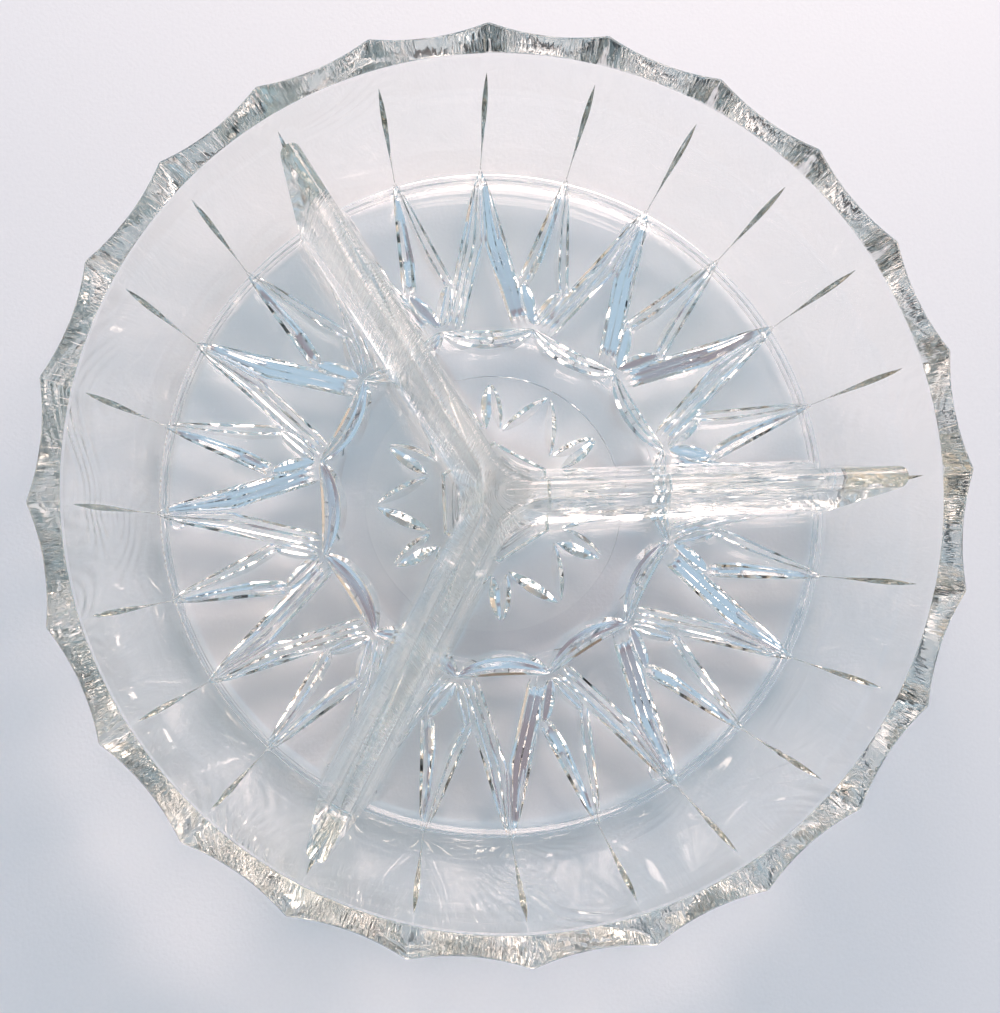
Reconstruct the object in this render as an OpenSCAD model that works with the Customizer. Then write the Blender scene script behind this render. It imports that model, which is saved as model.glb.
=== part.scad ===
// Lazy susan: a pressed-glass dish in three compartments, standing on a clear
// ball-bearing swivel base. Millimetres, +Z up. The origin is on the table,
// under the middle of the dish, and one divider points along +X.

/* [Dish] */
// Diameter over the points of the rim
dish_d = 270; // [250:1:300]
// Height of the dish, from its foot ring to its rim
dish_h = 46; // [40:1:52]
// Radius of the smooth circle inside the rim
rim_inner_r = 125.5; // [117:0.5:128]
// Outer radius of the foot ring
foot_r = 103.9; // [100:0.1:105]
// Thickness of the glass from the foot ring to the floor of the compartments
floor_t = 8; // [7:0.5:10]
// Number of concave flutes round the wall, and of points on the rim
flutes = 24; // [24:12:36]

/* [Dividers] */
// Number of compartments
compartments = 3; // [2:1:4]
// Height of the dividers above the foot ring
divider_h = 36; // [30:1:40]
// Thickness of a divider along its top edge
divider_top_w = 5.5; // [4:0.5:8]
// Thickness of a divider where it meets the floor
divider_base_w = 14; // [9:0.5:16]

/* [Pressed pattern] */
// Radius of the points where neighbouring arches meet
arch_r = 54.2; // [50:0.1:58]
// Radius of the points of the star
star_r = 35.8; // [32:0.1:38]
// Radius of the corners of the hexagon
hexagon_r = 18; // [15:0.5:20]

/* [Swivel base] */
// Gap between the edge of the top plate and the inside of the foot ring
centring_gap = 0.7; // [0.5:0.1:2]
// Radius of the circle that the balls run on
race_r = 48.4; // [40:0.1:60]
// Diameter of a bearing ball
ball_d = 5; // [4:0.5:5]
// Number of bearing balls
balls = 12; // [8:1:16]
// Number of feet, and of soft pads under the dish
feet = 6; // [3:1:6]

/* [Hidden] */
BALL_NODES = ["ball_01", "ball_02", "ball_03", "ball_04", "ball_05", "ball_06",
              "ball_07", "ball_08", "ball_09", "ball_10", "ball_11", "ball_12"];
FOOT_NODES = ["foot_1", "foot_2", "foot_3", "foot_4", "foot_5", "foot_6"];
PAD_NODES = ["pad_1", "pad_2", "pad_3", "pad_4", "pad_5", "pad_6"];
$fn = 96;
eps = 0.01;

// The foot ring of the dish hangs round the edge of the top plate, which centres it
foot_ring_w = 2.4;
foot_inner_r = foot_r - foot_ring_w;
plate_r = foot_inner_r - centring_gap;

// Swivel base, from the table up
foot_h = 2.5;
foot_d = 8;
foot_bevel = 0.8;
foot_circle_r = plate_r - foot_d / 2 - foot_bevel;
base_t = 4;
plate_gap = 4;
top_t = 3.3;
pad_h = 0.8;
pad_d = 8;
pattern_recess = 1.5;
base_top = foot_h + base_t;
ball_z = base_top + plate_gap / 2;
top_bottom = base_top + plate_gap;
plate_top = top_bottom + top_t;
dish_z = plate_top + pad_h - pattern_recess;

// Bearing, and the pin that holds the two plates together
race_clearance = 0.05;
pocket_clearance = 0.15;
cage_t = 1.6;
cage_inner_r = race_r - 9.4;
cage_outer_r = race_r + 4.1;
pin_r = 5;
bore_r = pin_r + 0.05;
boss_r = 12;
boss_gap = 0.5;
head_r = 9;
head_t = 1.5;
head_chamfer = 0.5;
washer_t = 0.8;
washer_r = head_r - 0.2;
counterbore_r = head_r + 0.3;
counterbore_z = top_bottom + 1.2;
clip_t = 0.8;
clip_r = 7.5;
clip_z = foot_h + 0.9;
clip_recess_r = 9;
clip_recess_h = 1.9;
clip_groove_r = 4.4;

// Dish
rim_r = dish_d / 2;
inner_floor_r = foot_r - 7;
fillet_r = 9;
flute_r = 93;
flute_depth_rim = 3.2;
flute_depth_foot = 2.1;

// Pressed pattern, all cut up into the recessed underside
arch_count = flutes / 2;
arch_half = 180 / arch_count;
arch_circle_r = 16.4;
arch_centre_r = 60.9;
arch_groove_r = 1.6;
leaf_depth = 1.1;
blade_depth = 1.4;
tip_r = foot_inner_r - 1;
short_tail_r = arch_r + 15;
short_tail_angle = 6.5;
cell_low_r = arch_r + 2;
cell_high_r = arch_r + 13;
cell_angle = 6;
star_leg_r = 21.8;
star_wide_angle = 21;
star_narrow_angle = 6;

function polar(r, a) = [r * cos(a), r * sin(a)];

// A V groove cut up from the underside between two points
module mitre_cut(a, b, depth) {
    half_w = depth * 1.4;
    translate([a.x, a.y, pattern_recess])
        rotate([0, 0, atan2(b.y - a.y, b.x - a.x)]) rotate([90, 0, 90])
        linear_extrude(height = norm(b - a))
        polygon([[-half_w, -eps], [half_w, -eps], [0, depth]]);
}

// The dish before fluting: a solid cone, and the smooth hollow in it
module outer_body() {
    cylinder(h = dish_h, r1 = foot_r, r2 = rim_r);
}

module inner_bowl() {
    slope = (rim_inner_r - inner_floor_r) / (dish_h - floor_t);
    rotate_extrude() polygon([
        [0, floor_t],
        [inner_floor_r - fillet_r / 2, floor_t],
        [inner_floor_r - 1, floor_t + 1.5],
        [inner_floor_r + slope * 5, floor_t + 5],
        [rim_inner_r, dish_h],
        [rim_inner_r, dish_h + 1],
        [0, dish_h + 1]]);
}

// One concave flute, along the leaning wall
module flute() {
    r_foot = foot_r - flute_depth_foot;
    r_rim = rim_r - flute_depth_rim;
    lean = atan((r_rim - r_foot) / dish_h);
    translate([r_foot, 0, 0]) rotate([0, lean, 0])
        translate([flute_r, 0, -30]) cylinder(h = dish_h + 60, r = flute_r);
}

// Plain round ring that the dish stands on
module foot_ring() {
    rotate_extrude() polygon([
        [foot_inner_r - 1, 0], [foot_r, 0],
        [foot_r, pattern_recess], [foot_inner_r - 1, pattern_recess]]);
}

module divider() {
    top = divider_top_w / 2;
    bevel = top * 0.6;
    rotate([90, 0, 90]) linear_extrude(height = rim_inner_r)
        polygon([
            [-divider_base_w / 2, floor_t - 1],
            [divider_base_w / 2, floor_t - 1],
            [top, divider_h - bevel],
            [top - bevel, divider_h],
            [bevel - top, divider_h],
            [-top, divider_h - bevel]]);
}

module dividers() {
    intersection() {
        union() for (i = [0 : compartments - 1])
            rotate([0, 0, i * 360 / compartments]) divider();
        translate([0, 0, floor_t - 2])
            cylinder(h = dish_h, r1 = inner_floor_r + 1, r2 = rim_r - 2);
    }
}

// One arch: the round groove between two meeting points
module arch_groove() {
    half = asin(arch_r * sin(arch_half) / arch_circle_r);
    translate([arch_centre_r, 0, pattern_recess])
        rotate([0, 0, 180 - half])
        rotate_extrude(angle = 2 * half) translate([arch_circle_r, 0]) circle(r = arch_groove_r);
}

// One sector of the pattern: an arch, the two long blades over it, and the
// two short blades and the small cell between it and its neighbour
module pattern_sector() {
    arch_groove();
    for (s = [-1, 1]) {
        mitre_cut(polar(arch_r + 1, s * (arch_half - 1)), polar(tip_r, 0), blade_depth);
        mitre_cut(polar(short_tail_r, arch_half + s * short_tail_angle), polar(tip_r, arch_half),
                  blade_depth);
        mitre_cut(polar(cell_low_r, arch_half), polar(cell_high_r, arch_half + s * cell_angle),
                  leaf_depth);
    }
}

// Wide pairs of leaves on the sides of the hexagon, narrow pairs on its corners
module star() {
    for (i = [0 : 5], s = [-1, 1]) {
        rotate([0, 0, i * 60])
            mitre_cut(polar(star_leg_r, s * star_wide_angle), polar(star_r, s), leaf_depth);
        rotate([0, 0, i * 60 + 30])
            mitre_cut(polar(star_leg_r, s * star_narrow_angle), polar(star_r, s), leaf_depth);
    }
}

module underside() {
    translate([0, 0, -1]) cylinder(h = 1 + pattern_recess, r = foot_inner_r);
    translate([0, 0, pattern_recess - eps])
        rotate([0, 0, 30]) linear_extrude(height = 0.5) circle(r = hexagon_r, $fn = 6);
    for (i = [0 : arch_count - 1]) rotate([0, 0, i * 360 / arch_count]) pattern_sector();
    star();
}

module glass_dish() {
    color([0.86, 0.92, 0.91, 0.5]) translate([0, 0, dish_z])
        difference() {
            union() {
                difference() {
                    outer_body();
                    inner_bowl();
                    for (i = [0 : flutes - 1]) rotate([0, 0, (i + 0.5) * 360 / flutes]) flute();
                }
                foot_ring();
                dividers();
            }
            underside();
        }
}

// Soft flat pad stuck on the top plate, under the recessed underside of the dish
module pad(i) {
    color([0.9, 0.93, 0.95, 0.5])
        rotate([0, 0, i * 360 / feet]) translate([foot_circle_r, 0, plate_top])
            cylinder(h = pad_h, r = pad_d / 2);
}

// The ring that the balls sweep, which leaves a groove in either plate
module race() {
    translate([0, 0, ball_z])
        rotate_extrude() translate([race_r, 0]) circle(r = ball_d / 2 + race_clearance);
}

module top_plate() {
    boss_z = ball_z + boss_gap / 2;
    color([0.88, 0.93, 0.96, 0.4])
        difference() {
            union() {
                translate([0, 0, top_bottom]) cylinder(h = top_t, r = plate_r);
                translate([0, 0, boss_z]) cylinder(h = top_bottom - boss_z + eps, r = boss_r);
            }
            race();
            cylinder(h = dish_z, r = bore_r);
            translate([0, 0, counterbore_z]) cylinder(h = 10, r = counterbore_r);
        }
}

module thrust_washer() {
    color([0.95, 0.95, 0.93, 0.6]) translate([0, 0, counterbore_z])
        difference() {
            cylinder(h = washer_t, r = washer_r);
            translate([0, 0, -1]) cylinder(h = washer_t + 2, r = bore_r);
        }
}

module pivot_pin() {
    bottom = foot_h + 0.4;
    head_z = counterbore_z + washer_t;
    color([0.9, 0.94, 0.97, 0.5])
        difference() {
            union() {
                translate([0, 0, bottom]) cylinder(h = head_z - bottom + eps, r = pin_r);
                translate([0, 0, head_z]) cylinder(h = head_t - head_chamfer, r = head_r);
                translate([0, 0, head_z + head_t - head_chamfer])
                    cylinder(h = head_chamfer, r1 = head_r, r2 = head_r - head_chamfer);
            }
            translate([0, 0, clip_z - 0.1]) difference() {
                cylinder(h = clip_t + 0.2, r = pin_r + 1);
                translate([0, 0, -1]) cylinder(h = clip_t + 2.2, r = clip_groove_r);
            }
        }
}

// Open ring that snaps into the groove near the pin's lower end
module retaining_clip() {
    mouth_w = clip_groove_r * 1.4;
    color([0.9, 0.93, 0.95, 0.6]) translate([0, 0, clip_z])
        difference() {
            cylinder(h = clip_t, r = clip_r);
            translate([0, 0, -1]) cylinder(h = clip_t + 2, r = clip_groove_r + 0.05);
            translate([0, -mouth_w / 2, -1]) cube([clip_r + 1, mouth_w, clip_t + 2]);
        }
}

module ball_cage() {
    color([0.88, 0.92, 0.95, 0.45]) translate([0, 0, ball_z - cage_t / 2])
        difference() {
            cylinder(h = cage_t, r = cage_outer_r);
            translate([0, 0, -1]) cylinder(h = cage_t + 2, r = cage_inner_r);
            for (i = [0 : balls - 1])
                rotate([0, 0, i * 360 / balls]) translate([race_r, 0, -1])
                    cylinder(h = cage_t + 2, r = ball_d / 2 + pocket_clearance);
        }
}

module bearing_ball(i) {
    color([0.93, 0.96, 0.97, 0.6])
        rotate([0, 0, i * 360 / balls]) translate([race_r, 0, ball_z])
            sphere(r = ball_d / 2);
}

module base_plate() {
    boss_h = plate_gap / 2 - boss_gap / 2;
    color([0.88, 0.93, 0.96, 0.4])
        difference() {
            union() {
                translate([0, 0, foot_h]) cylinder(h = base_t, r = plate_r);
                translate([0, 0, base_top - eps]) cylinder(h = boss_h + eps, r = boss_r);
            }
            race();
            cylinder(h = dish_z, r = bore_r);
            translate([0, 0, foot_h - 1]) cylinder(h = clip_recess_h + 1, r = clip_recess_r);
        }
}

// Soft foot with a bevelled lower edge
module foot(i) {
    color([0.9, 0.92, 0.93, 0.6])
        rotate([0, 0, i * 360 / feet]) translate([foot_circle_r, 0, 0]) {
            cylinder(h = foot_bevel + eps, r1 = foot_d / 2 - foot_bevel, r2 = foot_d / 2);
            translate([0, 0, foot_bevel]) cylinder(h = foot_h - foot_bevel, r = foot_d / 2);
        }
}

glass_dish();
top_plate();
thrust_washer();
pivot_pin();
retaining_clip();
ball_cage();
base_plate();
for (i = [0 : len(BALL_NODES) - 1])
    bearing_ball(i);
for (i = [0 : len(FOOT_NODES) - 1])
    foot(i);
for (i = [0 : len(PAD_NODES) - 1])
    pad(i);
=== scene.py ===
import math

import bmesh
import bpy
from mathutils import Matrix, Vector


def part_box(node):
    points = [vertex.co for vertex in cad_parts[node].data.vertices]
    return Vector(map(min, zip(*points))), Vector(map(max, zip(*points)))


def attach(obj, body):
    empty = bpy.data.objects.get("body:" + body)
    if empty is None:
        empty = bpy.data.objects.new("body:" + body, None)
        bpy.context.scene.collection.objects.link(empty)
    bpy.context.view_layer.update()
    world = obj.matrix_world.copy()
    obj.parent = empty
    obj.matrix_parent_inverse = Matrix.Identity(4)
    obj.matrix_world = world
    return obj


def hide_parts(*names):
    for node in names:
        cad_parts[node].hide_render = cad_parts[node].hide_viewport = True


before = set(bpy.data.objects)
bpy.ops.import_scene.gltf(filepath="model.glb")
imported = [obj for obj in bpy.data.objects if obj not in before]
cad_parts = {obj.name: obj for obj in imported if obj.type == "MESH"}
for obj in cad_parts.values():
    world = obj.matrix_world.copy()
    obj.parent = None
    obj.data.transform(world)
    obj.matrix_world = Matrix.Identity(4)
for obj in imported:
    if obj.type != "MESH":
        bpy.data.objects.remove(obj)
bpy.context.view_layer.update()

MM = 0.001

# Dish, in millimetres over its own foot ring
RIM_R = 135.0
DISH_H = 46.0
FOOT_R = 103.9
FOOT_INNER_R = 102.0
RECESS = 1.5
FLOOR_T = 8.0
RIM_INNER_R = 125.5
INNER_SLOPE = 0.70
FLOOR_FILLET = 7.0
FLUTES = 24
PEAK_FLAT = 0.8
FLUTE_SAG = 2.05

# Dividers
DIVIDERS = 3
RIDGE_H = 36.0
RIDGE_R = 3.3
SIDE_W = 6.9
CORNER_R = 18.0

# Pressed pattern
SECTORS = 12
TIP_R = 104.2
JUNCTION_R = 54.2
STAR_R = 35.8
HEXAGON_R = 17.6

# Swivel base, in millimetres over the table; a hair's breadth is left between touching parts
HAIR = 0.03
PIN_R = 5.0
PIN_FOOT_Z = 2.9
GROOVE_R = 4.4
GROOVE_Z = (3.3, 4.3)
HEAD_R = 9.0
HEAD_Z = 12.5
HEAD_TOP_Z = 14.0
WASHER_R = (5.05, 8.8)
WASHER_Z = 11.7
CLIP_R = (4.45, 7.5)
CLIP_Z = (3.4, 4.2)
CLIP_MOUTH = 6.16
FEET = 6
BALLS = 12
BALL_R = 2.5
BALL_Z = 8.5
RACE_R = 48.4
FOOT_CIRCLE_R = 96.0
FOOT_PAD_R = 4.0
BASE_Z = 2.5
TOP_Z = 13.8

# Long cuts that carry the tips of the V's up the outer wall
TIP_CUT_Z = 1.4
TIP_CUT_RISE = 31.0
TIP_CUT_HALF_W = 0.95
TIP_CUT_DEPTH = 0.9

# Depths of the fine ripples in the glass, in metres
WAVE_DEPTH = 0.00008
RIM_RIPPLE_DEPTH = 0.0006
STREAK_DEPTH = 0.0005
FLOW_LINE_DEPTH = 0.00003

# Studio light: a dome that changes with direction, and one soft window; metres and watts
HORIZON_COLOUR = (0.26, 0.19, 0.14)
DOME_COLOUR = (0.44, 0.585, 0.725)
WARM_SIDE_COLOUR = (0.80, 0.65, 0.54)
CEILING_STRIP_COLOUR = (0.30, 0.27, 0.31)
WINDOW_PLACE = (0.158, 0.592, 0.514)
WINDOW_SIZE = 0.5
WINDOW_POWER = 4.9
WINDOW_COLOUR = (1.0, 0.78, 0.71)

# Camera, looking down at the dish: lens in millimetres, turns in degrees, place in metres over the foot ring
LENS = 80.67
TILT_X = -6.18
TILT_Y = 5.86
ROLL = 2.04
CAMERA_PLACE = (-0.0711, -0.0722, 0.680)

DISH_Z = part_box("glass_dish")[0].z / MM


# ---------------------------------------------------------------- helpers

def polar(r, degrees, z=0.0):
    a = math.radians(degrees)
    return Vector((r * math.cos(a), r * math.sin(a), z))


def make_object(name, verts, faces):
    """A mesh object from points in millimetres."""
    mesh = bpy.data.meshes.new(name)
    mesh.from_pydata([Vector(v) * MM for v in verts], [], faces)
    mesh.update()
    obj = bpy.data.objects.new(name, mesh)
    bpy.context.scene.collection.objects.link(obj)
    bm = bmesh.new()
    bm.from_mesh(mesh)
    bmesh.ops.recalc_face_normals(bm, faces=bm.faces)
    bm.to_mesh(mesh)
    bm.free()
    return obj


def loft(rings, wrap=False):
    """Points and faces of a closed skin through rings of equal length.

    It has a flat face at each end, or runs on from the last ring into the first."""
    n = len(rings[0])
    verts = [p for ring in rings for p in ring]
    faces = []
    for k in range(len(rings) if wrap else len(rings) - 1):
        m = (k + 1) % len(rings)
        for i in range(n):
            j = (i + 1) % n
            faces.append((k * n + i, k * n + j, m * n + j, m * n + i))
    if not wrap:
        faces.append(tuple(reversed(range(n))))
        faces.append(tuple(range((len(rings) - 1) * n, len(rings) * n)))
    return verts, faces


def turned(profile, hollow=False, steps=72):
    """A turned solid through (radius, height) points; a hollow one closes on itself."""
    rings = [[polar(r, i * 360 / steps, z) for i in range(steps)] for r, z in profile]
    return loft(rings, wrap=hollow)


def boolean(target, tool, operation):
    """Joins a tool to a mesh or cuts it away, and deletes the tool."""
    mod = target.modifiers.new("cut", "BOOLEAN")
    mod.operation = operation
    mod.solver = "MANIFOLD"
    mod.object = tool
    graph = bpy.context.evaluated_depsgraph_get()
    result = bpy.data.meshes.new_from_object(target.evaluated_get(graph))
    target.modifiers.remove(mod)
    old = target.data
    target.data = result
    bpy.data.meshes.remove(old)
    bpy.data.objects.remove(tool)


def is_flap(face):
    """Whether a face hangs on an edge that two other faces share already."""
    counts = [len(edge.link_faces) for edge in face.edges]
    return min(counts) == 1 and max(counts) > 2


def doubled_faces(bm):
    """Faces that lie back to back on the same corners."""
    by_corners = {}
    for face in bm.faces:
        by_corners.setdefault(frozenset(face.verts), []).append(face)
    return [face for faces in by_corners.values() if len(faces) > 1 for face in faces]


def weld(obj, distance):
    """Closes the slivers that the booleans leave where cutters touch each other."""
    bm = bmesh.new()
    bm.from_mesh(obj.data)
    bmesh.ops.triangulate(bm, faces=bm.faces)
    bmesh.ops.remove_doubles(bm, verts=bm.verts, dist=distance)
    bmesh.ops.dissolve_degenerate(bm, edges=bm.edges, dist=distance)
    for _ in range(3):
        bmesh.ops.delete(bm, geom=[face for face in bm.faces if is_flap(face)], context="FACES")
        bmesh.ops.delete(bm, geom=doubled_faces(bm), context="FACES")
        bmesh.ops.holes_fill(bm, edges=[edge for edge in bm.edges if edge.is_boundary], sides=8)
        bmesh.ops.triangulate(bm, faces=bm.faces)
    bmesh.ops.delete(bm, geom=doubled_faces(bm), context="FACES")
    bmesh.ops.delete(bm, geom=[edge for edge in bm.edges if not edge.link_faces], context="EDGES")
    bm.to_mesh(obj.data)
    bm.free()


def crease_by_angle(obj, degrees):
    """Smooth shading with sharp edges where faces meet at more than the angle."""
    limit = math.radians(degrees)
    bm = bmesh.new()
    bm.from_mesh(obj.data)
    for face in bm.faces:
        face.smooth = True
    for edge in bm.edges:
        edge.smooth = len(edge.link_faces) == 2 and edge.calc_face_angle(0) < limit
    bm.to_mesh(obj.data)
    bm.free()


# ---------------------------------------------------------------- dish body

def scallop_angles():
    """Angles round the rim: a short flat on each peak, and points along each flute."""
    pitch = 360 / FLUTES
    half_flat = math.degrees(PEAK_FLAT / 2 / RIM_R)
    steps = 14
    angles = []
    for k in range(FLUTES):
        for i in range(steps + 1):
            angles.append(k * pitch + half_flat + (pitch - 2 * half_flat) * i / steps)
    return angles


def scallop(degrees):
    """Radius of the scalloped outline over the radius of its peaks."""
    half_pitch = math.radians(180 / FLUTES)
    a = math.radians(degrees) % (2 * half_pitch) - half_pitch
    chord_x = RIM_R * math.cos(half_pitch)
    half_chord = RIM_R * math.sin(half_pitch) - PEAK_FLAT / 2
    arc_r = (half_chord ** 2 + FLUTE_SAG ** 2) / (2 * FLUTE_SAG)
    centre = chord_x - FLUTE_SAG + arc_r
    along = centre * math.cos(a)
    r = along - math.sqrt(max(along ** 2 - centre ** 2 + arc_r ** 2, 0))
    return min(r / RIM_R, 1.0)


def outer_r(z):
    return FOOT_R + (RIM_R - FOOT_R) * z / DISH_H


def inner_r(z):
    return RIM_INNER_R - INNER_SLOPE * (DISH_H - z)


def flute_share(z):
    """How far the flutes are formed at height z: they run out evenly towards the foot."""
    return min(max((z - 0.8) / (DISH_H - 0.8), 0.0), 1.0)


def fluted_ring(r, z, angles):
    share = flute_share(z)
    return [polar(r * (1 - share * (1 - scallop(a))), a, z) for a in angles]


def round_ring(r, z, angles):
    return [polar(r, a, z) for a in angles]


def flat_rings(z, radii, angles):
    """Rings over a flat face, so that no face of it is large or has holes cut in it."""
    return [round_ring(r, z, angles) for r in radii]


def dish_body():
    angles = scallop_angles()
    rings = flat_rings(RECESS, (5, 12, 20, 28, 36, 44, 52, 60, 68, 76, 84, 92, 98), angles)
    rings += [round_ring(FOOT_INNER_R, RECESS, angles),
              round_ring(FOOT_INNER_R + 0.25, RECESS - 0.3, angles),
              round_ring(FOOT_INNER_R + 0.6, 0.35, angles),
              round_ring(FOOT_INNER_R + 0.95, 0.0, angles),
              round_ring(FOOT_R - 0.5, 0.0, angles),
              round_ring(FOOT_R - 0.15, 0.3, angles)]
    for z in (0.8, 4.0, 8.0, 14.0, 22.0, 32.0, DISH_H - 0.7):
        rings.append(fluted_ring(outer_r(z), z, angles))
    rings.append(fluted_ring(RIM_R - 0.12, DISH_H - 0.22, angles))
    rings.append(fluted_ring(RIM_R - 0.55, DISH_H, angles))
    rings.append(round_ring(RIM_INNER_R + 0.75, DISH_H, angles))
    rings.append(round_ring(RIM_INNER_R + 0.2, DISH_H - 0.15, angles))
    rings.append(round_ring(inner_r(DISH_H - 0.7), DISH_H - 0.7, angles))
    rings.append(round_ring(inner_r(30), 30, angles))
    lean = math.atan(INNER_SLOPE)
    tangent = FLOOR_FILLET * math.tan((math.pi / 2 - lean) / 2)
    corner = inner_r(FLOOR_T)
    steps = 10
    for i in range(steps + 1):
        a = (math.pi / 2 - lean) * (1 - i / steps)
        r = corner - tangent + FLOOR_FILLET * math.sin(a)
        z = FLOOR_T + FLOOR_FILLET * (1 - math.cos(a))
        rings.append(round_ring(r, z, angles))
    rings += flat_rings(FLOOR_T, (84, 72, 60, 48, 36, 24, 12, 5), angles)
    verts, faces = loft(rings)
    return make_object("glass_dish_body", verts, faces)


# ---------------------------------------------------------------- dividers

def divider_section():
    """Height and half width of a divider, from under the floor to its rounded top."""
    rows = [(FLOOR_T - 0.6, SIDE_W + 2.3), (FLOOR_T, SIDE_W + 2.3), (FLOOR_T + 0.25, SIDE_W + 1.5),
            (FLOOR_T + 0.8, SIDE_W + 0.85), (FLOOR_T + 1.8, SIDE_W + 0.35), (FLOOR_T + 3.4, SIDE_W)]
    shoulder = RIDGE_H - RIDGE_R
    rows.append((shoulder, RIDGE_R))
    for i in range(1, 8):
        a = math.radians(i * 12)
        rows.append((shoulder + RIDGE_R * math.sin(a), RIDGE_R * math.cos(a)))
    return rows


def divider_outline(w, z):
    """Plan of the three joined dividers, with rounded corners where they meet."""
    turn = 360 / DIVIDERS
    end = outer_r(z) - 5.5
    sine = math.sin(math.radians(turn / 2))
    centre = (w + CORNER_R) / sine
    points = []
    for k in range(DIVIDERS):
        along = polar(1, k * turn)
        across = polar(1, k * turn + 90)
        for x, y in ((60, -w), (end - w * 0.6, -w), (end, -w * 0.4),
                     (end, w * 0.4), (end - w * 0.6, w), (60, w)):
            points.append(along * x + across * y + Vector((0, 0, z)))
        middle = polar(centre, k * turn + turn / 2)
        half = 90 - turn / 2
        for i in range(15):
            a = k * turn + turn / 2 + 180 + half - 2 * half * i / 14
            points.append(middle + polar(CORNER_R, a, z))
    return points


def dividers():
    rings = [divider_outline(w, z) for z, w in divider_section()]
    verts, faces = loft(rings)
    return make_object("glass_dish_dividers", verts, faces)


# ---------------------------------------------------------------- pressed pattern

def facets(count, steep, gentle):
    """Places across a strip, 0 to 1, and depths: flat facets, by turns steep and gentle (degrees)."""
    rise = 1 / math.tan(math.radians(steep))
    fall = 1 / math.tan(math.radians(gentle))
    depth = 1 / count / (rise + fall)
    row = []
    for k in range(count):
        row.append((k / count, 0.004 if k else 0.0))
        row.append((k / count + rise * depth, depth))
    row.append((1.0, 0.0))
    return row


def v_groove(deepest, depth):
    """Places across a strip, 0 to 1, and depths: two flat facets that meet at the deepest line."""
    return [(0.0, 0.0), (deepest, depth), (1.0, 0.0)]


def strip(low, high, profile, steps, fade=0.0):
    """A cutter for a fluted strip of the underside, between two edges in plan.

    low(t) and high(t) give the edges for t from 0 to 1. The profile gives places across
    the strip and depths as shares of its width, and fade is the share of the length over
    which the strip runs out at its far end."""
    rings = []
    for s in range(steps + 1):
        t = s / steps
        a, b = low(t), high(t)
        width = (b - a).length
        share = min((1 - t) / fade, 1.0) if fade else 1.0
        share = max(share, 0.02)
        row = []
        for i, (place, depth) in enumerate(profile):
            rise = depth * width * share if 0 < i < len(profile) - 1 else -0.05
            row.append(a.lerp(b, place) + Vector((0, 0, RECESS + rise)))
        row.append(b + Vector((0, 0, RECESS - 0.6)))
        row.append(a + Vector((0, 0, RECESS - 0.6)))
        rings.append(row)
    return loft(rings)


def plan_edge(points):
    """An edge in plan through (radius, offset from the axis) corners, by share of its radii."""
    def edge(t):
        r = points[0][0] + (points[-1][0] - points[0][0]) * t
        for (r0, y0), (r1, y1) in zip(points, points[1:]):
            if r >= r1 or (r1, y1) == points[-1]:
                return Vector((r, y0 + (y1 - y0) * (r0 - r) / (r0 - r1), 0))
    return edge


def lens(line, normal, low, high, power=0.75):
    """Both edges of a strip that swells from a point and closes to a point again."""
    def edge(offset):
        def place(t):
            swell = max(math.sin(math.pi * t), 0.0) ** power if 0 < t < 1 else 0.0
            return line(t) + normal(t) * offset * max(swell, 0.004)
        return place
    return edge(low), edge(high)


def straight(a, b):
    direction = (b - a).normalized()
    across = Vector((-direction.y, direction.x, 0))
    return (lambda t: a.lerp(b, t)), (lambda t: across)


def arc(centre, r, start, end):
    def line(t):
        return centre + polar(r, start + (end - start) * t)

    def normal(t):
        return polar(1, start + (end - start) * t)
    return line, normal


def mirrored(verts):
    """The same points on the other side of the XZ plane."""
    return [Vector((v.x, -v.y, v.z)) for v in verts]


def around(parts, count, first=0.0):
    """One mesh of copies of (verts, faces) parts, turned about Z."""
    verts, faces = [], []
    for k in range(count):
        spin = Matrix.Rotation(math.radians(first + k * 360 / count), 4, "Z")
        for part_verts, part_faces in parts:
            base = len(verts)
            verts += [spin @ v for v in part_verts]
            faces += [tuple(base + i for i in f) for f in part_faces]
    return verts, faces


def long_arm():
    """Six facets from the tip of a long V down to an arch."""
    high = plan_edge(((TIP_R, 0.45), (77, 7.5), (53.6, 13.4)))
    low = plan_edge(((TIP_R, 0.15), (79, 0.35), (52.4, 7.8)))
    return strip(low, high, facets(3, 52, 39), 26, 0.06)


def short_arm():
    """Four facets from the tip of a short V down to its cell."""
    high = plan_edge(((TIP_R, 0.45), (67, 8.0)))
    low = plan_edge(((TIP_R, 0.15), (90, 0.3), (76, 1.6), (66.5, 4.2)))
    return strip(low, high, facets(2, 39, 52), 22, 0.06)


def leaf(top, foot, width):
    """A pointed leaf of two facets along the outside of an arm."""
    line, normal = straight(Vector((*top, 0)), Vector((*foot, 0)))
    low, high = lens(line, normal, -0.1, width)
    return strip(low, high, v_groove(0.35, 0.42), 18)


def cell_arm():
    """Four facets from the end of a short V down to the meeting point of two arches."""
    line, normal = straight(Vector((67.4, 6.2, 0)), Vector((55.6, 0.2, 0)))
    low, high = lens(line, normal, -2.0, 2.2, 0.45)
    return strip(low, high, facets(2, 52, 39), 14)


def arch_line(low_r):
    """The line of an arch between two meeting points, lowest at low_r on its axis."""
    end = polar(JUNCTION_R, 180 / SECTORS)
    rise = end.x - low_r
    r = (end.y ** 2 + rise ** 2) / (2 * rise)
    angle = math.degrees(math.asin(end.y / r))
    return arc(Vector((low_r + r, 0, 0)), r, 180 + angle, 180 - angle)


def arch_band():
    low, high = lens(*arch_line(50.2), -2.1, 2.1, 0.6)
    return strip(low, high, facets(2, 50, 39), 36)


def arch_bevel():
    low, high = lens(*arch_line(50.2), 2.15, 5.6, 0.6)
    return strip(low, high, v_groove(0.4, 0.4), 36)


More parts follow.
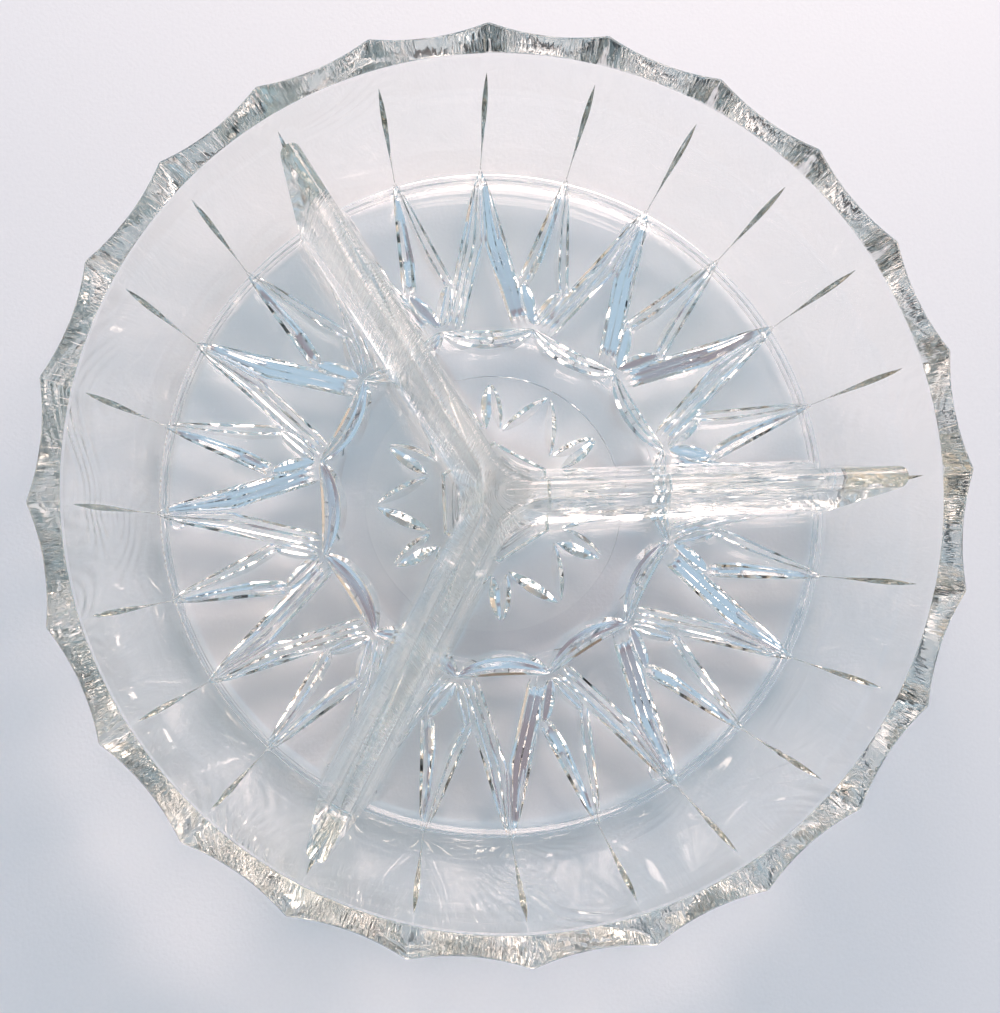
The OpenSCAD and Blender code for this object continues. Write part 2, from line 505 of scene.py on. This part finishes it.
def star_leaf(r, degrees):
    line, normal = straight(polar(STAR_R, 0.8), polar(r, degrees))
    low, high = lens(line, normal, -1.9, 1.8)
    return strip(low, high, v_groove(0.4, 0.48), 16)


def wall_tip():
    """A comet-shaped cutter that carries the tip of a V up one ridge of the outer wall."""
    outward = Vector((DISH_H, 0, FOOT_R - RIM_R)).normalized()
    steps = 20
    rings = []
    for i in range(steps + 1):
        t = i / steps
        z = TIP_CUT_Z + TIP_CUT_RISE * t
        swell = max(math.sin(math.pi * t * t), 0.1)
        middle = Vector((outer_r(z), 0, z))
        side = Vector((0, TIP_CUT_HALF_W * swell, 0))
        deep = outward * TIP_CUT_DEPTH * swell
        rings.append([middle + side, middle + deep, middle - side, middle - deep])
    return loft(rings)


def hexagon_groove():
    """A narrow V groove along the outline of the hexagon."""
    half_w = 0.6
    rings = []
    for dr, z in ((-half_w, RECESS - 0.05), (0, RECESS + 0.62), (half_w, RECESS - 0.05),
                  (half_w, RECESS - 0.6), (-half_w, RECESS - 0.6)):
        rings.append([polar(HEXAGON_R + dr, 30 + 60 * i, z) for i in range(6)])
    return loft(rings, wrap=True)


def both_sides(part):
    verts, faces = part
    return [(verts, faces), (mirrored(verts), faces)]


def pattern_cutters():
    """Groups of cutters; none overlaps another in its own group."""
    half = 180 / SECTORS
    groups = []
    for part, first in ((long_arm(), 0), (leaf((97, 2.4), (69, 9.6), 2.3), 0), (short_arm(), half),
                        (leaf((96, 2.2), (68.5, 7.8), 2.6), half), (cell_arm(), half)):
        for side in both_sides(part):
            groups.append(around([side], SECTORS, first))
    groups.append(around([arch_band()], SECTORS))
    groups.append(around([arch_bevel()], SECTORS))
    for part, first in ((star_leaf(21.4, 22.5), 0), (star_leaf(22.0, 6.0), 30)):
        for side in both_sides(part):
            groups.append(around([side], 6, first))
    groups.append(hexagon_groove())
    groups.append(around([wall_tip()], FLUTES))
    return groups


def glass_dish():
    dish = dish_body()
    boolean(dish, dividers(), "UNION")
    for verts, faces in pattern_cutters():
        boolean(dish, make_object("cutter", verts, faces), "DIFFERENCE")
    dish.name = "pressed_glass_dish"
    dish.data.transform(Matrix.Translation((0, 0, DISH_Z * MM)))
    weld(dish, 0.01 * MM)
    crease_by_angle(dish, 22)
    return dish


# ---------------------------------------------------------------- swivel base

def pivot_pin():
    r = PIN_R - HAIR
    profile = ((r - 0.3, PIN_FOOT_Z), (r, PIN_FOOT_Z + 0.25), (r, GROOVE_Z[0]), (GROOVE_R, GROOVE_Z[0]),
               (GROOVE_R, GROOVE_Z[1]), (r, GROOVE_Z[1]), (r, HEAD_Z + HAIR),
               (HEAD_R - 0.2, HEAD_Z + HAIR), (HEAD_R, HEAD_Z + 0.2), (HEAD_R, HEAD_TOP_Z - 0.5),
               (HEAD_R - 0.15, HEAD_TOP_Z - 0.2), (HEAD_R - 0.5, HEAD_TOP_Z))
    return turned(profile)


def thrust_washer():
    low, high = WASHER_Z + HAIR, HEAD_Z - HAIR
    inner, outer = WASHER_R
    return turned(((inner + 0.1, low), (outer - 0.1, low), (outer, low + 0.1), (outer, high - 0.1),
                   (outer - 0.1, high), (inner + 0.1, high), (inner, high - 0.1), (inner, low + 0.1)),
                  hollow=True)


def retaining_clip():
    """An open ring with a mouth of even width, that snaps into the groove of the pin."""
    low, high = CLIP_Z
    inner, outer = CLIP_R
    section = ((inner + 0.1, low), (outer - 0.1, low), (outer, low + 0.1), (outer, high - 0.1),
               (outer - 0.1, high), (inner + 0.1, high), (inner, high - 0.1), (inner, low + 0.1))
    steps = 60
    rings = []
    for i in range(steps + 1):
        ring = []
        for r, z in section:
            mouth = math.degrees(math.asin(CLIP_MOUTH / 2 / r))
            ring.append(polar(r, mouth + (360 - 2 * mouth) * i / steps, z))
        rings.append(ring)
    return loft(rings)


def foot():
    top = BASE_Z - HAIR
    return turned(((FOOT_PAD_R - 0.9, HAIR), (FOOT_PAD_R - 0.7, HAIR + 0.04), (FOOT_PAD_R - 0.1, 0.7),
                   (FOOT_PAD_R, 0.85), (FOOT_PAD_R, top - 0.1), (FOOT_PAD_R - 0.1, top)), steps=48)


def ball():
    """A bearing ball, a hair smaller than its grooves, from pole to pole."""
    r = BALL_R - 2 * HAIR
    steps = 24
    profile = []
    for i in range(steps + 1):
        a = math.radians(-88 + 176 * i / steps)
        profile.append((r * math.cos(a), BALL_Z + r * math.sin(a)))
    return turned(profile, steps=48)


def pad():
    low, high = TOP_Z + HAIR, DISH_Z + RECESS - HAIR
    return turned(((FOOT_PAD_R - 0.1, low), (FOOT_PAD_R, low + 0.1), (FOOT_PAD_R, high - 0.15),
                   (FOOT_PAD_R - 0.15, high)), steps=48)


# ---------------------------------------------------------------- materials

def new_material(name):
    mat = bpy.data.materials.new(name)
    mat.use_nodes = True
    nodes = mat.node_tree.nodes
    shader = nodes["Principled BSDF"]
    return mat, mat.node_tree, shader


def add_noise(tree, scale, detail=3.0, distortion=0.0):
    coords = tree.nodes.new("ShaderNodeTexCoord")
    noise = tree.nodes.new("ShaderNodeTexNoise")
    noise.inputs["Scale"].default_value = scale
    noise.inputs["Detail"].default_value = detail
    noise.inputs["Distortion"].default_value = distortion
    tree.links.new(coords.outputs["Object"], noise.inputs["Vector"])
    return noise


def calc(tree, operation, *terms):
    """The output of a Math node on sockets or numbers."""
    node = tree.nodes.new("ShaderNodeMath")
    node.operation = operation
    for socket, term in zip(node.inputs, terms):
        if isinstance(term, (int, float)):
            socket.default_value = term
        else:
            tree.links.new(term, socket)
    return node.outputs[0]


def fade(tree, value, low, high):
    """0 under the low value, 1 over the high one, and a straight slope between."""
    node = tree.nodes.new("ShaderNodeMapRange")
    node.inputs["From Min"].default_value = low
    node.inputs["From Max"].default_value = high
    tree.links.new(value, node.inputs["Value"])
    return node.outputs["Result"]


def round_coordinates(tree):
    """Angle, radius and height of a point of the surface, about the axis of the part."""
    coords = tree.nodes.new("ShaderNodeTexCoord")
    split = tree.nodes.new("ShaderNodeSeparateXYZ")
    tree.links.new(coords.outputs["Object"], split.inputs["Vector"])
    x, y, z = split.outputs
    angle = calc(tree, "ARCTAN2", y, x)
    squares = calc(tree, "ADD", calc(tree, "MULTIPLY", x, x), calc(tree, "MULTIPLY", y, y))
    radius = calc(tree, "SQRT", squares)
    return angle, radius, z


def add_ramp(tree, source, stops):
    ramp = tree.nodes.new("ShaderNodeValToRGB")
    ramp.color_ramp.elements[0].position = stops[0][0]
    ramp.color_ramp.elements[0].color = (*stops[0][1], 1)
    ramp.color_ramp.elements[1].position = stops[1][0]
    ramp.color_ramp.elements[1].color = (*stops[1][1], 1)
    tree.links.new(source.outputs["Fac"], ramp.inputs["Fac"])
    return ramp


def add_bump(tree, height, shader, strength, distance):
    bump = tree.nodes.new("ShaderNodeBump")
    bump.inputs["Strength"].default_value = strength
    bump.inputs["Distance"].default_value = distance
    tree.links.new(height, bump.inputs["Height"])
    tree.links.new(bump.outputs["Normal"], shader.inputs["Normal"])


def clear_material(name, ior, low, high, scale, bump):
    """A see-through material with a faint uneven tint and, where bump is not 0, a faint ripple."""
    mat, tree, shader = new_material(name)
    shader.inputs["Transmission Weight"].default_value = 1.0
    shader.inputs["IOR"].default_value = ior
    shader.inputs["Roughness"].default_value = 0.0
    noise = add_noise(tree, scale)
    ramp = add_ramp(tree, noise, ((0.35, low), (0.65, high)))
    tree.links.new(ramp.outputs["Color"], shader.inputs["Base Color"])
    if bump:
        add_bump(tree, noise.outputs["Fac"], shader, 1.0, bump)
    return mat


def add_absorption(tree, colour, density):
    volume = tree.nodes.new("ShaderNodeVolumeAbsorption")
    volume.inputs["Color"].default_value = (*colour, 1)
    volume.inputs["Density"].default_value = density
    tree.links.new(volume.outputs["Volume"], tree.nodes["Material Output"].inputs["Volume"])


def stretched_noise(tree, along, across):
    """Noise over two coordinates, each given at its own scale."""
    place = tree.nodes.new("ShaderNodeCombineXYZ")
    tree.links.new(along, place.inputs["X"])
    tree.links.new(across, place.inputs["Y"])
    noise = tree.nodes.new("ShaderNodeTexNoise")
    noise.inputs["Scale"].default_value = 1.0
    noise.inputs["Detail"].default_value = 2.0
    tree.links.new(place.outputs["Vector"], noise.inputs["Vector"])
    return noise.outputs["Fac"]


def rim_ripple(tree, angle, radius, z):
    """Height of the fine crosswise ripples of the fire-polished rim."""
    noise = stretched_noise(tree, calc(tree, "MULTIPLY", angle, 100), calc(tree, "MULTIPLY", radius, 90))
    top = (DISH_Z + DISH_H) * MM
    share = fade(tree, z, top - 0.0008, top - 0.0002)
    return calc(tree, "MULTIPLY", calc(tree, "MULTIPLY", noise, share), RIM_RIPPLE_DEPTH)


def divider_streaks(tree, angle, radius, z):
    """Height of the fine lines that run along the dividers."""
    sideways = calc(tree, "MULTIPLY", calc(tree, "MULTIPLY", angle, radius), 700)
    noise = stretched_noise(tree, calc(tree, "MULTIPLY", radius, 14), sideways)
    over_floor = fade(tree, z, (DISH_Z + FLOOR_T + 1) * MM, (DISH_Z + FLOOR_T + 4) * MM)
    inside_wall = fade(tree, radius, FOOT_INNER_R * MM, (FOOT_INNER_R - 4) * MM)
    share = calc(tree, "MULTIPLY", over_floor, inside_wall)
    return calc(tree, "MULTIPLY", calc(tree, "MULTIPLY", noise, share), STREAK_DEPTH)


def wall_ripple(tree, radius, z):
    """Height of the looped flow lines that the mould leaves here and there on the wall."""
    flow = add_noise(tree, 16, 1.0, 0.6).outputs["Fac"]
    lines = calc(tree, "SINE", calc(tree, "MULTIPLY", flow, 150))
    patches = fade(tree, add_noise(tree, 21, 0.0).outputs["Fac"], 0.5, 0.62)
    wall = fade(tree, radius, (FOOT_R + 2) * MM, (FOOT_R + 6) * MM)
    under_rim = fade(tree, z, (DISH_Z + DISH_H - 1) * MM, (DISH_Z + DISH_H - 4) * MM)
    share = calc(tree, "MULTIPLY", calc(tree, "MULTIPLY", patches, wall), under_rim)
    return calc(tree, "MULTIPLY", calc(tree, "MULTIPLY", lines, share), FLOW_LINE_DEPTH)


def pressed_glass():
    mat = clear_material("pressed_glass", 1.5, (0.985, 0.99, 0.985), (1, 1, 1), 28, 0)
    tree = mat.node_tree
    angle, radius, z = round_coordinates(tree)
    wave = calc(tree, "MULTIPLY", add_noise(tree, 28).outputs["Fac"], WAVE_DEPTH)
    height = calc(tree, "ADD", wave, rim_ripple(tree, angle, radius, z))
    height = calc(tree, "ADD", height, divider_streaks(tree, angle, radius, z))
    height = calc(tree, "ADD", height, wall_ripple(tree, radius, z))
    add_bump(tree, height, tree.nodes["Principled BSDF"], 1.0, 1.0)
    add_absorption(tree, (0.88, 0.87, 0.74), 6)
    return mat


def paper():
    mat, tree, shader = new_material("studio_paper")
    shader.inputs["Roughness"].default_value = 0.9
    grain = add_noise(tree, 900, 4)
    ramp = add_ramp(tree, grain, ((0.3, (0.79, 0.79, 0.79)), (0.7, (0.81, 0.81, 0.81))))
    tree.links.new(ramp.outputs["Color"], shader.inputs["Base Color"])
    add_bump(tree, grain.outputs["Fac"], shader, 0.4, 0.0002)
    return mat


def dress(obj, mat):
    obj.data.materials.clear()
    obj.data.materials.append(mat)


# ---------------------------------------------------------------- assembly

def build_dish():
    dish = glass_dish()
    dress(dish, pressed_glass())
    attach(dish, "dish")
    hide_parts("glass_dish")


def base_materials():
    """Materials of the swivel base, by the name of their slot in the record."""
    looks = {
        "clear_acrylic": clear_material("acrylic", 1.49, (0.995, 0.995, 0.99), (1, 1, 1), 40, 0.00001),
        "clear_cage": clear_material("cage", 1.49, (0.98, 0.985, 0.99), (0.99, 0.99, 0.995), 60, 0.00001),
        "ball_glass": clear_material("balls", 1.5, (0.98, 0.99, 0.99), (0.99, 1, 1), 200, 0.000002),
        "clear_silicone": clear_material("silicone", 1.41, (0.95, 0.96, 0.965), (0.97, 0.975, 0.98),
                                         120, 0.00002),
        "slick_washer": clear_material("washer", 1.45, (0.95, 0.955, 0.955), (0.97, 0.97, 0.97),
                                       150, 0.00001),
    }
    faint_reflection = 0.12
    for mat in looks.values():
        shader = mat.node_tree.nodes["Principled BSDF"]
        shader.inputs["Specular IOR Level"].default_value = faint_reflection
    return looks


def place_piece(part, node, body, slot, looks, turn=0.0, offset=0.0):
    """A finished piece in place of one CAD node, set at an angle and at a distance from the axis."""
    verts, faces = part
    moved = [v + Vector((offset, 0, 0)) for v in verts]
    obj = make_object("finished_" + node, *around([(moved, faces)], 1, turn))
    crease_by_angle(obj, 30)
    dress(obj, looks[slot])
    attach(obj, body)
    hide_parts(node)


def build_base():
    looks = base_materials()
    place_piece(pivot_pin(), "pivot_pin", "base", "clear_acrylic", looks)
    place_piece(thrust_washer(), "thrust_washer", "base", "slick_washer", looks)
    place_piece(retaining_clip(), "retaining_clip", "base", "clear_cage", looks)
    for i in range(FEET):
        turn = i * 360 / FEET
        place_piece(foot(), "foot_%d" % (i + 1), "base", "clear_silicone", looks, turn, FOOT_CIRCLE_R)
        place_piece(pad(), "pad_%d" % (i + 1), "turntable", "clear_silicone", looks, turn, FOOT_CIRCLE_R)
    dress(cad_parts["top_plate"], looks["clear_acrylic"])
    dress(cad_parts["base_plate"], looks["clear_acrylic"])
    dress(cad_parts["ball_cage"], looks["clear_cage"])
    for i in range(BALLS):
        node = "ball_%02d" % (i + 1)
        place_piece(ball(), node, node, "ball_glass", looks, i * 360 / BALLS, RACE_R)


def add_floor():
    half = 3.0
    mesh = bpy.data.meshes.new("studio_floor")
    corners = [(-half, -half, 0), (half, -half, 0), (half, half, 0), (-half, half, 0)]
    mesh.from_pydata(corners, [], [(0, 1, 2, 3)])
    floor = bpy.data.objects.new("studio_floor", mesh)
    bpy.context.scene.collection.objects.link(floor)
    dress(floor, paper())


def mix_colour(tree, share, a, b):
    """Colour a with a share of colour b over it."""
    node = tree.nodes.new("ShaderNodeMix")
    node.data_type = "RGBA"
    factor, first, second = node.inputs[0], node.inputs[6], node.inputs[7]
    tree.links.new(share, factor)
    tree.links.new(a, first)
    second.default_value = (*b, 1)
    return node.outputs[2]


def add_world():
    """A pale dome, darker towards the horizon, with a warm side and a dim strip overhead."""
    world = bpy.data.worlds.new("studio")
    bpy.context.scene.world = world
    world.use_nodes = True
    tree = world.node_tree
    background = tree.nodes["Background"]
    coords = tree.nodes.new("ShaderNodeTexCoord")
    split = tree.nodes.new("ShaderNodeSeparateXYZ")
    tree.links.new(coords.outputs["Generated"], split.inputs["Vector"])
    x, y, z = split.outputs
    ramp = tree.nodes.new("ShaderNodeValToRGB")
    ramp.color_ramp.elements[0].position = 0.02
    ramp.color_ramp.elements[0].color = (*HORIZON_COLOUR, 1)
    ramp.color_ramp.elements[1].position = 0.30
    ramp.color_ramp.elements[1].color = (*DOME_COLOUR, 1)
    tree.links.new(z, ramp.inputs["Fac"])
    side_share = fade(tree, x, -0.5, -0.85)
    warm_side = mix_colour(tree, side_share, ramp.outputs["Color"], WARM_SIDE_COLOUR)
    strip_share = calc(tree, "MULTIPLY", fade(tree, y, -0.11, -0.03), fade(tree, y, 0.14, 0.06))
    strip_share = calc(tree, "MULTIPLY", strip_share, fade(tree, z, 0.7, 0.9))
    colour = mix_colour(tree, strip_share, warm_side, CEILING_STRIP_COLOUR)
    tree.links.new(colour, background.inputs["Color"])


def add_window():
    """A round soft lamp, aimed at the foot of the part."""
    light = bpy.data.lights.new("window", "AREA")
    light.shape = "DISK"
    light.size = WINDOW_SIZE
    light.energy = WINDOW_POWER
    light.color = WINDOW_COLOUR
    obj = bpy.data.objects.new("window", light)
    obj.location = WINDOW_PLACE
    aim = -Vector(WINDOW_PLACE)
    obj.rotation_euler = aim.to_track_quat("-Z", "Y").to_euler()
    bpy.context.scene.collection.objects.link(obj)


def add_camera():
    camera = bpy.data.cameras.new("camera")
    camera.lens = LENS
    camera.sensor_width = 36
    camera.clip_start = 0.01
    obj = bpy.data.objects.new("camera", camera)
    tilt_x = Matrix.Rotation(math.radians(TILT_X), 3, "X")
    tilt_y = Matrix.Rotation(math.radians(TILT_Y), 3, "Y")
    roll = Matrix.Rotation(math.radians(ROLL), 3, "Z")
    turn = (tilt_y @ tilt_x @ roll).transposed().to_4x4()
    place = Matrix.Translation(Vector(CAMERA_PLACE) + Vector((0, 0, DISH_Z * MM)))
    obj.matrix_world = place @ turn
    bpy.context.scene.collection.objects.link(obj)
    bpy.context.scene.camera = obj


def set_light_paths():
    """Clear glass over clear plates needs many bounces, and no blur, before light gets through."""
    cycles = bpy.context.scene.cycles
    cycles.max_bounces = 32
    cycles.transmission_bounces = 32
    cycles.glossy_bounces = 12
    cycles.diffuse_bounces = 4
    cycles.blur_glossy = 0
    bpy.context.scene.view_settings.view_transform = "Standard"


build_dish()
build_base()
set_light_paths()
add_floor()
add_world()
add_window()
add_camera()
